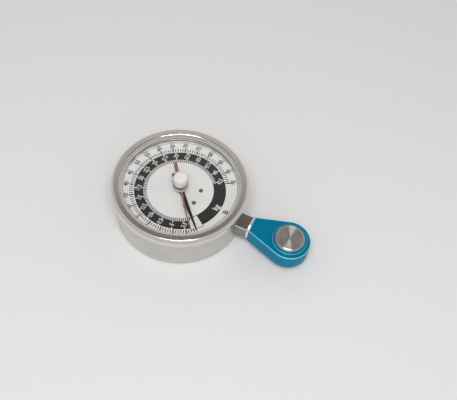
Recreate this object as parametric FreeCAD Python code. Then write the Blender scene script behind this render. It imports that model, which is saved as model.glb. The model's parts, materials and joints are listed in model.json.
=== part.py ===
import FreeCAD, Part
import math
import os
from FreeCAD import Vector

# A hydraulic pinch gauge: a round dial gauge with a square stem, and at the stem's end a drop-shaped
# cylinder body with a round piston button. Millimetres. The origin is the centre of the case's flat
# back, +Z comes out of the dial, and +X runs along the stem to the button.

# Case: a drawn cup with a rolled flange
CASE_R = 42.0
CASE_WALL = 1.0
CASE_BACK = 1.2
CASE_EDGE_R = 2.5
FLANGE_OUT = 1.1
FLANGE_T = 0.8

# Bezel: a sheet ring crimped under the flange
BEZEL_T = 0.8
BEZEL_SIDE_GAP = 0.1
BEZEL_SHOULDER = 0.9
BEZEL_W = 6.3
BEZEL_CREST_IN = 2.2
BEZEL_CREST_UP = 2.9
BEZEL_BULGE = 0.4
BEZEL_EYE_UP = 0.1
BEZEL_RIM_R = 1.3
BEZEL_LIP = 0.9

# Lens and what seats it
LENS_T = 1.6
LENS_EDGE_IN = 0.4
LENS_BOSS_R = 5.2
LENS_BOSS_UP = 1.4
GASKET_T = 0.6
GASKET_SET_BACK = 0.3
RING_GAP = 0.1
RING_W = 2.3
RING_WAIST_W = 3.4
RING_WAIST_UP = 2.4
RING_FOOT_W = 3.9
RING_GROOVE = 0.4

# Dial
DIAL_ROOM = 2.2
DIAL_T = 0.6
DIAL_EDGE_GAP = 0.2
DIAL_EYE_R = 2.6
DIAL_SCREW_Y = 5.2
DIAL_SCREW_R = 0.8
DIAL_SCREW_L = 5.0
DIAL_HEAD_R = 1.35
DIAL_HEAD_T = 0.6

# Stem and socket block
STEM_Z = 12.0
STEM_SIDE = 11.1
STEM_CHAMFER = 0.5
STEM_HOLE_GAP = 0.1
STEM_OUT = 7.5
BLOCK_HALF_W = 7.5
BLOCK_BEFORE_TUBE = 6.0
BLOCK_WALL_GAP = 0.3
BLOCK_OVER_TUBE = 1.2
SHELF_BEFORE_LUG = 1.4
SHELF_DROP = 1.0
LUG_R = 1.8
LUG_GAP = 1.1
NOSE_R = 4.0
NOSE_L = 8.6
NOSE_GAP = 0.05
OIL_BORE_R = 1.5
CROSS_BORE_R = 1.2
BACK_SCREW_R = 1.25
BACK_SCREW_L = 7.0
BACK_SCREW_IN_X = 5.0
BACK_SCREW_IN_Y = 3.3
BACK_SCREW_END = 3.7

# Bourdon tube: a flattened tube bent to an arc
TUBE_ROOM = 11.0
TUBE_DEEP = 8.0
TUBE_THICK = 3.0
TUBE_WALL = 0.45
TUBE_START = 12.0
TUBE_END = 258.0
TUBE_SEAT_ANGLE = 20.0
TUBE_PLUG_ANGLE = 10.0

# Movement plates, pillars and arbors
PLATE_T = 1.2
PLATE_SPACE = 5.8
PLATE_LEFT = -9.5
PLATE_RIGHT = 9.3
PLATE_BASE_RIGHT = 11.0
PLATE_TOP = 6.0
PLATE_STEP_UP = 4.8
PLATE_STEP_H = 2.0
PLATE_FOOT = 5.8
TAB_HALF_W = 3.2
TAB_END_GAP = 2.5
TAB_SCREW_IN = 2.5
TAB_SCREW_STEP = 5.0
TAB_SCREW_R = 1.0
TAB_SCREW_L = 5.0
PILLAR_R = 1.5
PILLAR_IN = 2.4
PILLAR_FOOT = 3.2
PILLAR_SCREW_R = 0.8
PILLAR_SCREW_L = 2.6
SCREW_HEAD_RATIO = 1.75
SCREW_HEAD_T = 0.9
SLOT_W = 0.4
SLOT_DEPTH = 0.35
SLOT_TURN_ANGLE = 70.0
SLOT_FIRST_ANGLE = 25.0
PIVOT_R = 0.6
PIVOT_GAP = 0.05
SHAFT_R = 1.0
SHOULDER_GAP = 0.1

# Gears
MODULE = 0.35
PINION_TEETH = 12
SECTOR_TEETH = 84
PRESSURE_ANGLE = 25.0
ADDENDUM = 0.8
DEDENDUM = 1.1
BACKLASH = 0.07
FLANK_POINTS = 4
PINION_T = 2.2
PINION_LIFT = 1.6
SECTOR_T = 1.0
SECTOR_SWING = 40.0
SPARE_TEETH = 2
SECTOR_RIM = 1.6
SECTOR_ARM = 2.2
SECTOR_ARM_ANGLE = 4.0
SECTOR_ARM_IN_RIM = 0.4
SECTOR_HUB_R = 2.6

# Link and tube tip
TAIL_R = 5.0
TAIL_HALF_W = 1.7
TAIL_SLOT_GAP = 0.1
TAIL_SLOT_SPARE = 0.35
PIN_R = 0.6
PIN_HEAD_R = 1.1
PIN_HEAD_T = 0.5
LINK_T = 0.8
LINK_HALF_W = 1.3
LINK_LIFT = 0.2
TIP_LONG = 5.2
TIP_SIDE = 0.8
EAR_T = 1.2
EAR_HALF_W = 1.6
EAR_RISE = 3.15
EAR_ROOM = 0.2

# Hairspring
SPRING_T = 0.2
SPRING_H = 1.0
SPRING_IN_R = 1.7
SPRING_OUT_R = 5.2
SPRING_TURNS = 4
SPRING_STEPS = 18
SPRING_DROP = 0.4
COLLET_OVERLAP = 0.05
STUD_R = 0.5
STUD_SLIT_GAP = 0.02

# Drive pointer
POINTER_REST_ANGLE = -45.6
POINTER_TIP_IN = 5.1
POINTER_LIFT = 1.9
POINTER_T = 0.4
POINTER_ROOT_W = 3.4
POINTER_TIP_W = 0.8
POINTER_TAIL_R = 11.8
POINTER_TAIL_W = 3.7
POINTER_HUB_R = 2.3
POINTER_HUB_UP = 0.4
POINTER_HUB_DOWN = 0.8
TAIL_WAIST = 0.35
TAIL_FLARE = 0.6
ARBOR_R = 0.9

# Peak pointer, its spindle and reset knob
PEAK_TIP_IN = 2.0
PEAK_GAP_Z = 1.0
PEAK_T = 0.4
PEAK_ARM_W = 1.3
PEAK_TAIL_R = 18.8
PEAK_TAIL_W = 2.2
PEAK_HUB_R = 4.7
PEAK_HUB_T = 0.9
PEAK_EYE_R = 3.0
PUSH_TAB_R = 14.3
PUSH_TAB_W = 1.2
PUSH_TAB_LONG = 1.4
PUSH_TAB_GAP = 0.08
WASHER_T = 0.2
WASHER_R = 3.2
SPINDLE_R = 1.25
SPINDLE_GAP = 0.05
SPINDLE_IN_KNOB = 5.0
KNOB_R = 4.5
KNOB_H = 7.9
KNOB_EDGE_R = 2.2
KNOB_CROWN = 0.4
KNOB_WASHER_R = 4.8
KNOB_WASHER_T = 0.5

# Seal washer between the stem and the cylinder body
SEAL_T = 1.3
SEAL_R = 6.4
SEAL_GAP = 0.1

# Cylinder body
BODY_T = 11.9
BODY_NECK_HALF_W = 5.7
BODY_REACH = 25.7
BODY_WALL = 1.9
BODY_EDGE_R = 0.7
BODY_CORNER_R = 0.6
BOSS_WALL = 1.675
BOSS_UP = 1.3
BOSS_EDGE_R = 0.6

# Piston, cylinder and closing cap
BUTTON_R = 9.525
BUTTON_GAP = 0.05
BUTTON_SIDE = 0.55
BUTTON_SHOULDER = 1.45
BUTTON_RELIEF = 0.15
BUTTON_BULGE = 0.25
PISTON_FLANGE_OUT = 1.4
PISTON_FLANGE_T = 2.6
GUIDE_L = 4.05
PISTON_RUN_GAP = 0.075
OIL_ROOM = 2.4
PRESS_TRAVEL = 1.2
SEAL_RING_R = 0.7
SEAL_RING_GAP = 0.04
SEAL_GROOVE_GAP = 0.06
CAP_STEP = 0.6
CAP_GAP = 0.03
CAP_RING_R = 0.5
CAP_KEY_R = 0.9
CAP_KEY_OUT = 7.0
CAP_KEY_DEEP = 1.4
FILL_R = 1.5
FILL_KEY_W = 1.5
FILL_KEY_DEEP = 1.1
FILL_SINK = 0.3

# Heights that follow from the ones above, from the case's back upwards
SHELF_TOP = STEM_Z - SHELF_DROP
STEM_TOP = STEM_Z + STEM_SIDE / 2
BLOCK_TOP = STEM_Z + TUBE_DEEP / 2 + BLOCK_OVER_TUBE
REAR_TOP = SHELF_TOP + PLATE_T
FRONT_BOTTOM = REAR_TOP + PLATE_SPACE
FRONT_TOP = FRONT_BOTTOM + PLATE_T
PINION_Z = REAR_TOP + PINION_LIFT
SECTOR_Z = PINION_Z + (PINION_T - SECTOR_T) / 2
SECTOR_TOP = SECTOR_Z + SECTOR_T
LINK_Z = SECTOR_TOP + LINK_LIFT
LINK_TOP = LINK_Z + LINK_T
SPRING_TOP = FRONT_BOTTOM - SPRING_DROP
DIAL_BOTTOM = FRONT_TOP + DIAL_ROOM
DIAL_TOP = DIAL_BOTTOM + DIAL_T
POINTER_Z = DIAL_TOP + POINTER_LIFT
POINTER_HUB_TOP = POINTER_Z + POINTER_T + POINTER_HUB_UP
PEAK_Z = POINTER_HUB_TOP + PEAK_GAP_Z
PEAK_TOP = PEAK_Z + PEAK_T
PEAK_HUB_TOP = PEAK_TOP + PEAK_HUB_T
CASE_HEIGHT = PEAK_HUB_TOP + WASHER_T
FLANGE_BOTTOM = CASE_HEIGHT - FLANGE_T
LENS_TOP = CASE_HEIGHT + LENS_T
GASKET_TOP = LENS_TOP + GASKET_T
LENS_BOSS_TOP = LENS_TOP + LENS_BOSS_UP
KNOB_BOTTOM = LENS_BOSS_TOP + KNOB_WASHER_T
KNOB_TOP = KNOB_BOTTOM + KNOB_H
BODY_BOTTOM = STEM_Z - BODY_T / 2
BODY_TOP = STEM_Z + BODY_T / 2
BOSS_TOP = BODY_TOP + BOSS_UP
GUIDE_BOTTOM = BOSS_TOP - GUIDE_L
FLANGE_LOW = GUIDE_BOTTOM - PISTON_FLANGE_T
CAP_TOP = FLANGE_LOW - PRESS_TRAVEL - OIL_ROOM

# Radii that follow
CASE_IN_R = CASE_R - CASE_WALL
CASE_FLOOR_R = CASE_IN_R - CASE_EDGE_R + CASE_BACK
FLANGE_R = CASE_R + FLANGE_OUT
BEZEL_R = FLANGE_R + BEZEL_SIDE_GAP + BEZEL_T
BEZEL_EYE_R = BEZEL_R - BEZEL_W
LENS_R = CASE_R - LENS_EDGE_IN
GASKET_IN_R = BEZEL_EYE_R + GASKET_SET_BACK
TUBE_R = CASE_IN_R - TUBE_ROOM
POINTER_R = BEZEL_EYE_R - POINTER_TIP_IN
PEAK_R = POINTER_R - PEAK_TIP_IN
PINION_PITCH_R = MODULE * PINION_TEETH / 2
SECTOR_PITCH_R = MODULE * SECTOR_TEETH / 2
PISTON_FLANGE_R = BUTTON_R + PISTON_FLANGE_OUT
CYLINDER_R = PISTON_FLANGE_R + PISTON_RUN_GAP
CAP_R = CYLINDER_R + CAP_STEP
BODY_ROUND_R = CAP_R + BODY_WALL
BOSS_R = BUTTON_R + BOSS_WALL

# Places along the stem and across it
DIAL_SCREW_X = PLATE_RIGHT + LUG_GAP + LUG_R
SHELF_X = DIAL_SCREW_X - LUG_R - SHELF_BEFORE_LUG
BLOCK_FRONT_X = TUBE_R - BLOCK_BEFORE_TUBE
BLOCK_END_X = math.sqrt(CASE_FLOOR_R ** 2 - BLOCK_HALF_W ** 2) - BLOCK_WALL_GAP
STEM_END_X = CASE_R + STEM_OUT
BODY_X = STEM_END_X + SEAL_T
BUTTON_X = BODY_X + BODY_REACH
BACK_SCREWS = ((SHELF_X + BACK_SCREW_IN_X, BLOCK_HALF_W - BACK_SCREW_IN_Y),
               (SHELF_X + BACK_SCREW_IN_X, BACK_SCREW_IN_Y - BLOCK_HALF_W),
               (BLOCK_END_X - BACK_SCREW_END, 0.0))
TAB_END_X = BLOCK_FRONT_X - TAB_END_GAP
TAB_SCREWS_X = (TAB_END_X - TAB_SCREW_IN - TAB_SCREW_STEP, TAB_END_X - TAB_SCREW_IN)
SECTOR_X = 0.0
SECTOR_Y = -(PINION_PITCH_R + SECTOR_PITCH_R)
PLATE_STEP = SECTOR_Y + PLATE_STEP_UP
PLATE_BOTTOM = SECTOR_Y - PLATE_FOOT
PILLARS = ((PLATE_RIGHT - PILLAR_IN, PLATE_TOP - PILLAR_IN), (PLATE_LEFT + PILLAR_IN, PLATE_TOP - PILLAR_IN),
           (PLATE_BASE_RIGHT - PILLAR_IN, PLATE_BOTTOM + PILLAR_FOOT))
HALF_SWING = math.radians(SECTOR_SWING / 2)
LINK_X = SECTOR_X - TAIL_R
TAIL_PIN_Y = SECTOR_Y + TAIL_R * math.tan(HALF_SWING)
LINK_PIN_Y = TUBE_R * math.sin(math.radians(TUBE_END)) + EAR_RISE
BLADE_TAPER = (POINTER_ROOT_W - POINTER_TIP_W) / (POINTER_R - POINTER_TIP_W)
PUSH_TAB_IN_R = PUSH_TAB_R - PUSH_TAB_LONG / 2
BLADE_W_AT_TAB = POINTER_ROOT_W - BLADE_TAPER * PUSH_TAB_IN_R
PUSH_APART = (BLADE_W_AT_TAB + PUSH_TAB_W) / 2 + PUSH_TAB_GAP
PUSH_LEAD = math.degrees(math.asin(PUSH_APART / PUSH_TAB_IN_R))
PEAK_REST_ANGLE = POINTER_REST_ANGLE - PUSH_LEAD


def upright(radius, height):
    return Vector(radius, 0, height)


def level(height):
    return lambda x, y: Vector(x, y, height)


def face_of(path, place):
    """Face inside a closed path. A step of two numbers is a line to that point, and one of four
    numbers is an arc through the first pair to the second."""
    edges = []
    here = place(*path[0][-2:])
    for step in list(path[1:]) + [path[0][-2:]]:
        there = place(*step[-2:])
        if len(step) == 4:
            edges.append(Part.Arc(here, place(*step[:2]), there).toShape())
        elif not here.isEqual(there, 1e-7):
            edges.append(Part.makeLine(here, there))
        here = there
    return Part.Face(Part.Wire(edges))


def turned(path, x=0.0, y=0.0, angle=360.0):
    """Solid of revolution about the vertical axis through x, y. The path gives radius and height."""
    solid = face_of(path, upright).revolve(Vector(0, 0, 0), Vector(0, 0, 1), angle)
    solid.translate(Vector(x, y, 0))
    return solid


def slab(path, bottom, top):
    return face_of(path, level(bottom)).extrude(Vector(0, 0, top - bottom))


def disc(radius, bottom, top, x=0.0, y=0.0):
    return Part.makeCylinder(radius, top - bottom, Vector(x, y, bottom))


def bar_x(radius, start, end):
    """Round bar along the stem's axis."""
    return Part.makeCylinder(radius, end - start, Vector(start, 0, STEM_Z), Vector(1, 0, 0))


def box(low, high):
    size = [b - a for a, b in zip(low, high)]
    return Part.makeBox(size[0], size[1], size[2], Vector(*low))


def turn_about(shape, degrees, x=0.0, y=0.0):
    shape.rotate(Vector(x, y, 0), Vector(0, 0, 1), degrees)
    return shape


def polar(radius, degrees, x=0.0, y=0.0):
    a = math.radians(degrees)
    return (x + radius * math.cos(a), y + radius * math.sin(a))


def save(name, *solids):
    pieces = [part for solid in solids for part in solid.Solids]
    shape = pieces[0] if len(pieces) == 1 else Part.makeCompound(pieces)
    shape.exportStep("parts/" + name + ".step")


def slot_turn(i):
    return SLOT_FIRST_ANGLE + SLOT_TURN_ANGLE * i


def flat_screw(x, y, bottom, top, radius, head_r, head_t, turn):
    """Round-headed screw with a slot. The head's seat is at top."""
    screw = disc(radius, bottom, top, x, y)
    edge = head_t / 3
    head = turned([(0, top), (head_r, top), (head_r, top + head_t - edge),
                   (head_r - edge, top + head_t), (0, top + head_t)], x, y)
    slot = box((x - head_r, y - SLOT_W / 2, top + head_t - SLOT_DEPTH),
               (x + head_r, y + SLOT_W / 2, top + head_t + 1))
    return screw.fuse(head).cut(turn_about(slot, turn, x, y))


def gauge_case():
    lip = CASE_HEIGHT
    cup = turned([(0, 0), (CASE_R - CASE_EDGE_R, 0),
                  polar(CASE_EDGE_R, -45, CASE_R - CASE_EDGE_R, CASE_EDGE_R) + (CASE_R, CASE_EDGE_R),
                  (CASE_R, FLANGE_BOTTOM), (FLANGE_R, FLANGE_BOTTOM), (FLANGE_R, lip),
                  (CASE_IN_R, lip), (CASE_IN_R, CASE_EDGE_R),
                  polar(CASE_EDGE_R - CASE_BACK, -45, CASE_FLOOR_R, CASE_EDGE_R) + (CASE_FLOOR_R, CASE_BACK),
                  (0, CASE_BACK)])
    half = STEM_SIDE / 2 + STEM_HOLE_GAP
    stem_hole = box((BLOCK_FRONT_X, -half, STEM_Z - half), (CASE_R + 1, half, STEM_Z + half))
    cup = cup.cut(stem_hole)
    for x, y in BACK_SCREWS:
        cup = cup.cut(back_screw(x, y))
    return cup


def back_screw(x, y):
    """Countersunk screw flush with the case's back."""
    head_r = BACK_SCREW_R + CASE_BACK
    end = CASE_BACK + BACK_SCREW_L
    return turned([(0, 0), (head_r, 0), (BACK_SCREW_R, CASE_BACK), (BACK_SCREW_R, end), (0, end)], x, y)


def slotted_back_screw(i):
    x, y = BACK_SCREWS[i]
    head_r = BACK_SCREW_R + CASE_BACK
    slot = box((x - head_r, y - SLOT_W, -1), (x + head_r, y + SLOT_W, SLOT_W))
    return back_screw(x, y).cut(turn_about(slot, slot_turn(i), x, y))


def bezel_ring():
    side_in = BEZEL_R - BEZEL_T
    hem = FLANGE_BOTTOM - BEZEL_T
    wide = CASE_HEIGHT + BEZEL_SHOULDER
    crest_r = BEZEL_R - BEZEL_CREST_IN
    crest = wide + BEZEL_CREST_UP
    eye = crest + BEZEL_EYE_UP
    middle = polar(BEZEL_BULGE, 45, (BEZEL_R + crest_r) / 2, (wide + crest) / 2)
    rim_r = BEZEL_EYE_R + BEZEL_RIM_R
    slope = BEZEL_EYE_UP / (crest_r - BEZEL_EYE_R)
    lip_r = BEZEL_EYE_R + BEZEL_LIP
    under = crest - BEZEL_T
    return turned([(CASE_R + BEZEL_SIDE_GAP, hem), (BEZEL_R - BEZEL_T / 2, hem),
                   polar(BEZEL_T / 2, -45, BEZEL_R - BEZEL_T / 2, hem + BEZEL_T / 2)
                   + (BEZEL_R, hem + BEZEL_T / 2),
                   (BEZEL_R, wide), middle + (crest_r, crest),
                   (rim_r, eye - slope * BEZEL_RIM_R),
                   polar(BEZEL_RIM_R, 135, rim_r, eye - BEZEL_RIM_R) + (BEZEL_EYE_R, eye - BEZEL_RIM_R),
                   (BEZEL_EYE_R, GASKET_TOP), (lip_r, GASKET_TOP), (lip_r, under),
                   (crest_r - BEZEL_T / 2, under),
                   polar(-BEZEL_T, 45, *middle) + (side_in, wide),
                   (side_in, FLANGE_BOTTOM), (CASE_R + BEZEL_SIDE_GAP, FLANGE_BOTTOM)])


def ring(outer, inner, bottom, top):
    return disc(outer, bottom, top).cut(disc(inner, bottom - 1, top + 1))


def lens():
    """Clear disc with a low boss round the spindle's hole, which the knob's washer turns on."""
    boss = disc(LENS_BOSS_R, CASE_HEIGHT, LENS_BOSS_TOP)
    hole = disc(SPINDLE_R + SPINDLE_GAP, CASE_HEIGHT - 1, LENS_BOSS_TOP + 1)
    return disc(LENS_R, CASE_HEIGHT, LENS_TOP).fuse(boss).cut(hole).removeSplitter()


def dial_ring():
    """Spacer between the dial and the lens. It narrows down to the dial, with a groove at half height
    and an undercut at its foot."""
    outer = CASE_IN_R - RING_GAP
    foot = outer - RING_FOOT_W
    waist = outer - RING_WAIST_W
    step = DIAL_TOP + RING_WAIST_UP
    return turned([(outer, DIAL_TOP), (outer, CASE_HEIGHT), (outer - RING_W, CASE_HEIGHT),
                   (waist, step + RING_GROOVE), (waist + RING_GROOVE, step + RING_GROOVE),
                   (waist + RING_GROOVE, step), (waist, step),
                   (foot, DIAL_TOP + RING_GROOVE), (foot + RING_GROOVE, DIAL_TOP + RING_GROOVE),
                   (foot + RING_GROOVE, DIAL_TOP)])


def dial_plate():
    dial = ring(CASE_IN_R - DIAL_EDGE_GAP, DIAL_EYE_R, DIAL_BOTTOM, DIAL_TOP)
    for y in (DIAL_SCREW_Y, -DIAL_SCREW_Y):
        dial = dial.cut(disc(DIAL_SCREW_R, DIAL_BOTTOM - 1, DIAL_TOP + 1, DIAL_SCREW_X, y))
    return dial


def dial_screws():
    bottom = DIAL_BOTTOM - DIAL_SCREW_L
    return [flat_screw(DIAL_SCREW_X, y, bottom, DIAL_TOP, DIAL_SCREW_R, DIAL_HEAD_R, DIAL_HEAD_T,
                       slot_turn(i))
            for i, y in enumerate((DIAL_SCREW_Y, -DIAL_SCREW_Y))]


def tube_section(grow):
    """Flattened section of the tube, standing at the arc's radius."""
    half = TUBE_THICK / 2 + grow
    straight = TUBE_DEEP / 2 + grow - half
    low = STEM_Z - straight
    high = STEM_Z + straight
    return [(TUBE_R - half, low), (TUBE_R, low - half, TUBE_R + half, low),
            (TUBE_R + half, high), (TUBE_R, high + half, TUBE_R - half, high)]


def tube_arc(grow, start, end):
    return turn_about(turned(tube_section(grow), angle=end - start), start)


def bourdon_tube():
    return tube_arc(0, TUBE_START, TUBE_END).cut(tube_arc(-TUBE_WALL, TUBE_START, TUBE_END))


def socket_block():
    shelf = box((SHELF_X, -BLOCK_HALF_W, CASE_BACK), (BLOCK_FRONT_X, BLOCK_HALF_W, SHELF_TOP))
    block = box((BLOCK_FRONT_X, -BLOCK_HALF_W, CASE_BACK), (BLOCK_END_X, BLOCK_HALF_W, BLOCK_TOP))
    half = STEM_SIDE / 2
    stem = box((BLOCK_END_X - 1, -half, STEM_Z - half), (STEM_END_X, half, STEM_TOP))
    long_edges = [e for e in stem.Edges if e.BoundBox.XLength > 1]
    stem = stem.makeChamfer(STEM_CHAMFER, long_edges)
    nose = bar_x(NOSE_R, STEM_END_X - 1, STEM_END_X + NOSE_L)
    whole = shelf.fuse([block, stem, nose])
    for y in (DIAL_SCREW_Y, -DIAL_SCREW_Y):
        whole = whole.fuse(disc(LUG_R, SHELF_TOP - 1, DIAL_BOTTOM, DIAL_SCREW_X, y))
    start_x, start_y = polar(TUBE_R, TUBE_START)
    oil = bar_x(OIL_BORE_R, start_x - OIL_BORE_R, STEM_END_X + NOSE_L + 1)
    cross = Part.makeCylinder(CROSS_BORE_R, start_y, Vector(start_x, 0, STEM_Z), Vector(0, 1, 0))
    cuts = [oil, cross, tube_arc(0, TUBE_START, TUBE_START + TUBE_SEAT_ANGLE)]
    cuts += [back_screw(x, y) for x, y in BACK_SCREWS]
    cuts += [disc(TAB_SCREW_R, SHELF_TOP - TAB_SCREW_L, SHELF_TOP + 1, x) for x in TAB_SCREWS_X]
    cuts += [disc(DIAL_SCREW_R, DIAL_BOTTOM - DIAL_SCREW_L, DIAL_TOP, DIAL_SCREW_X, y)
             for y in (DIAL_SCREW_Y, -DIAL_SCREW_Y)]
    return whole.cut(cuts).removeSplitter()


def plate_outline():
    return [(PLATE_LEFT, PLATE_TOP), (PLATE_RIGHT, PLATE_TOP), (PLATE_RIGHT, PLATE_STEP),
            (PLATE_BASE_RIGHT, PLATE_STEP - PLATE_STEP_H), (PLATE_BASE_RIGHT, PLATE_BOTTOM),
            (SECTOR_X - SECTOR_HUB_R, PLATE_BOTTOM), (PLATE_LEFT, PLATE_STEP)]


def arbor_holes(bottom, top):
    return [disc(PIVOT_R + PIVOT_GAP, bottom - 1, top + 1, SECTOR_X, SECTOR_Y)]


def movement_back_plate():
    plate = slab(plate_outline(), SHELF_TOP, REAR_TOP)
    tab = box((0, -TAB_HALF_W, SHELF_TOP), (TAB_END_X, TAB_HALF_W, REAR_TOP))
    holes = arbor_holes(SHELF_TOP, REAR_TOP) + [disc(PIVOT_R + PIVOT_GAP, SHELF_TOP - 1, REAR_TOP + 1)]
    holes += [disc(TAB_SCREW_R, SHELF_TOP - 1, REAR_TOP + 1, x) for x in TAB_SCREWS_X]
    return plate.fuse(tab).cut(holes).removeSplitter()


def movement_front_plate():
    plate = slab(plate_outline(), FRONT_BOTTOM, FRONT_TOP)
    holes = arbor_holes(FRONT_BOTTOM, FRONT_TOP)
    holes.append(disc(ARBOR_R + PIVOT_GAP, FRONT_BOTTOM - 1, FRONT_TOP + 1))
    holes += [disc(PILLAR_SCREW_R, FRONT_BOTTOM - 1, FRONT_TOP + 1, x, y) for x, y in PILLARS]
    holes += [disc(STUD_R, FRONT_BOTTOM - 1, FRONT_TOP + 1, SPRING_OUT_R + STUD_R)]
    return plate.cut(holes)


def movement_pillars():
    hole_bottom = FRONT_BOTTOM - PILLAR_SCREW_L + PLATE_T
    return [disc(PILLAR_R, REAR_TOP, FRONT_BOTTOM, x, y).cut(
        disc(PILLAR_SCREW_R, hole_bottom, FRONT_BOTTOM + 1, x, y)) for x, y in PILLARS]


def head_screw(x, y, seat, radius, length, turn):
    return flat_screw(x, y, seat - length, seat, radius, radius * SCREW_HEAD_RATIO, SCREW_HEAD_T, turn)


def pillar_screws():
    return [head_screw(x, y, FRONT_TOP, PILLAR_SCREW_R, PILLAR_SCREW_L, slot_turn(i))
            for i, (x, y) in enumerate(PILLARS)]


def movement_screws():
    length = TAB_SCREW_L + PLATE_T
    return [head_screw(x, 0, REAR_TOP, TAB_SCREW_R, length, slot_turn(i))
            for i, x in enumerate(TAB_SCREWS_X)]


def tooth_half_angle(teeth, radius):
    """Half of a tooth's angle at a radius, for an involute flank with backlash."""
    pitch_r = MODULE * teeth / 2
    base_r = pitch_r * math.cos(math.radians(PRESSURE_ANGLE))
    at_pitch = math.pi / (2 * teeth) - BACKLASH / (4 * pitch_r)

    def unwound(r):
        lean = math.acos(min(1.0, base_r / r))
        return math.tan(lean) - lean
    return at_pitch + unwound(pitch_r) - unwound(max(radius, base_r))


def tooth_points(teeth, centre_degrees, x, y):
    """Outline of one tooth, from its root on one side over the tip to the other side."""
    pitch_r = MODULE * teeth / 2
    root_r = pitch_r - DEDENDUM * MODULE
    tip_r = pitch_r + ADDENDUM * MODULE
    base_r = pitch_r * math.cos(math.radians(PRESSURE_ANGLE))
    low_r = max(root_r, base_r)
    radii = [root_r] if low_r > root_r else []
    radii += [low_r + (tip_r - low_r) * i / FLANK_POINTS for i in range(FLANK_POINTS + 1)]
    up = [polar(r, centre_degrees - math.degrees(tooth_half_angle(teeth, r)), x, y) for r in radii]
    down = [polar(r, centre_degrees + math.degrees(tooth_half_angle(teeth, r)), x, y)
            for r in reversed(radii)]
    return up + down


def pinion_shaft():
    """Arbor with the pinion's teeth. A gap between two teeth faces the sector at rest."""
    step = 360.0 / PINION_TEETH
    points = []
    for i in range(PINION_TEETH):
        points += tooth_points(PINION_TEETH, -90 + step * (i + 0.5), 0, 0)
    teeth = slab(points, PINION_Z, PINION_Z + PINION_T)
    low = REAR_TOP + SHOULDER_GAP
    high = FRONT_BOTTOM - SHOULDER_GAP
    arbor = turned([(0, SHELF_TOP), (PIVOT_R, SHELF_TOP), (PIVOT_R, low), (SHAFT_R, low), (SHAFT_R, high),
                    (ARBOR_R, high), (ARBOR_R, POINTER_HUB_TOP), (0, POINTER_HUB_TOP)])
    return teeth.fuse(arbor).removeSplitter()


def sector_gear():
    """Toothed sector that swings about its arbor, with a slotted tail for the link's pin."""
    step = 360.0 / SECTOR_TEETH
    first = -(math.ceil(SECTOR_SWING / step) + SPARE_TEETH)
    root_r = SECTOR_PITCH_R - DEDENDUM * MODULE
    points = []
    for k in range(first, SPARE_TEETH + 1):
        points += tooth_points(SECTOR_TEETH, 90 + step * k, SECTOR_X, SECTOR_Y)
    low = 90 + step * (first - 0.5)
    high = 90 + step * (SPARE_TEETH + 0.5)
    inner_r = root_r - SECTOR_RIM
    rim = slab(points + [polar(root_r, high, SECTOR_X, SECTOR_Y), polar(inner_r, high, SECTOR_X, SECTOR_Y),
                         polar(inner_r, (low + high) / 2, SECTOR_X, SECTOR_Y)
                         + polar(inner_r, low, SECTOR_X, SECTOR_Y),
                         polar(root_r, low, SECTOR_X, SECTOR_Y)], SECTOR_Z, SECTOR_TOP)
    whole = rim.fuse(disc(SECTOR_HUB_R, SECTOR_Z, SECTOR_TOP, SECTOR_X, SECTOR_Y))
    for side in (low + SECTOR_ARM_ANGLE, high - SECTOR_ARM_ANGLE):
        arm = box((SECTOR_X, SECTOR_Y - SECTOR_ARM / 2, SECTOR_Z),
                  (SECTOR_X + inner_r + SECTOR_ARM_IN_RIM, SECTOR_Y + SECTOR_ARM / 2, SECTOR_TOP))
        whole = whole.fuse(turn_about(arm, side, SECTOR_X, SECTOR_Y))
    whole = whole.fuse(sector_tail())
    slot_r = PIN_R + TAIL_SLOT_GAP
    near = TAIL_R - TAIL_SLOT_SPARE
    far = TAIL_R / math.cos(HALF_SWING) + TAIL_SLOT_SPARE
    slot = round_bar(near, far, slot_r, SECTOR_Z - 1, SECTOR_TOP + 1)
    whole = whole.cut(turn_about(slot, 180 - SECTOR_SWING / 2, SECTOR_X, SECTOR_Y))
    return whole.cut(disc(SHAFT_R, SECTOR_Z - 1, SECTOR_TOP + 1, SECTOR_X, SECTOR_Y)).removeSplitter()


def round_bar(near, far, half, bottom, top):
    """Flat bar with round ends that points along +X from the sector's arbor."""
    near += SECTOR_X
    far += SECTOR_X
    return slab([(near, SECTOR_Y - half), (far, SECTOR_Y - half),
                 (far + half, SECTOR_Y, far, SECTOR_Y + half),
                 (near, SECTOR_Y + half), (near - half, SECTOR_Y, near, SECTOR_Y - half)], bottom, top)


def sector_tail():
    end = TAIL_R / math.cos(HALF_SWING) + TAIL_SLOT_SPARE
    return turn_about(round_bar(0, end, TAIL_HALF_W, SECTOR_Z, SECTOR_TOP),
                      180 - SECTOR_SWING / 2, SECTOR_X, SECTOR_Y)


def sector_arbor():
    bottom = REAR_TOP + SHOULDER_GAP
    top = FRONT_BOTTOM - SHOULDER_GAP
    return turned([(0, SHELF_TOP), (PIVOT_R, SHELF_TOP), (PIVOT_R, bottom), (SHAFT_R, bottom),
                   (SHAFT_R, top),
                   (PIVOT_R, top), (PIVOT_R, FRONT_TOP), (0, FRONT_TOP)], SECTOR_X, SECTOR_Y)


def link_bar():
    """Flat link from the tube's tip to the sector's tail."""
    bar = slab([(LINK_X - LINK_HALF_W, TAIL_PIN_Y), (LINK_X - LINK_HALF_W, LINK_PIN_Y),
                (LINK_X, LINK_PIN_Y - LINK_HALF_W, LINK_X + LINK_HALF_W, LINK_PIN_Y),
                (LINK_X + LINK_HALF_W, TAIL_PIN_Y),
                (LINK_X, TAIL_PIN_Y + LINK_HALF_W, LINK_X - LINK_HALF_W, TAIL_PIN_Y)], LINK_Z, LINK_TOP)
    return bar.cut([disc(PIN_R, LINK_Z - 1, LINK_TOP + 1, LINK_X, y) for y in (LINK_PIN_Y, TAIL_PIN_Y)])


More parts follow.
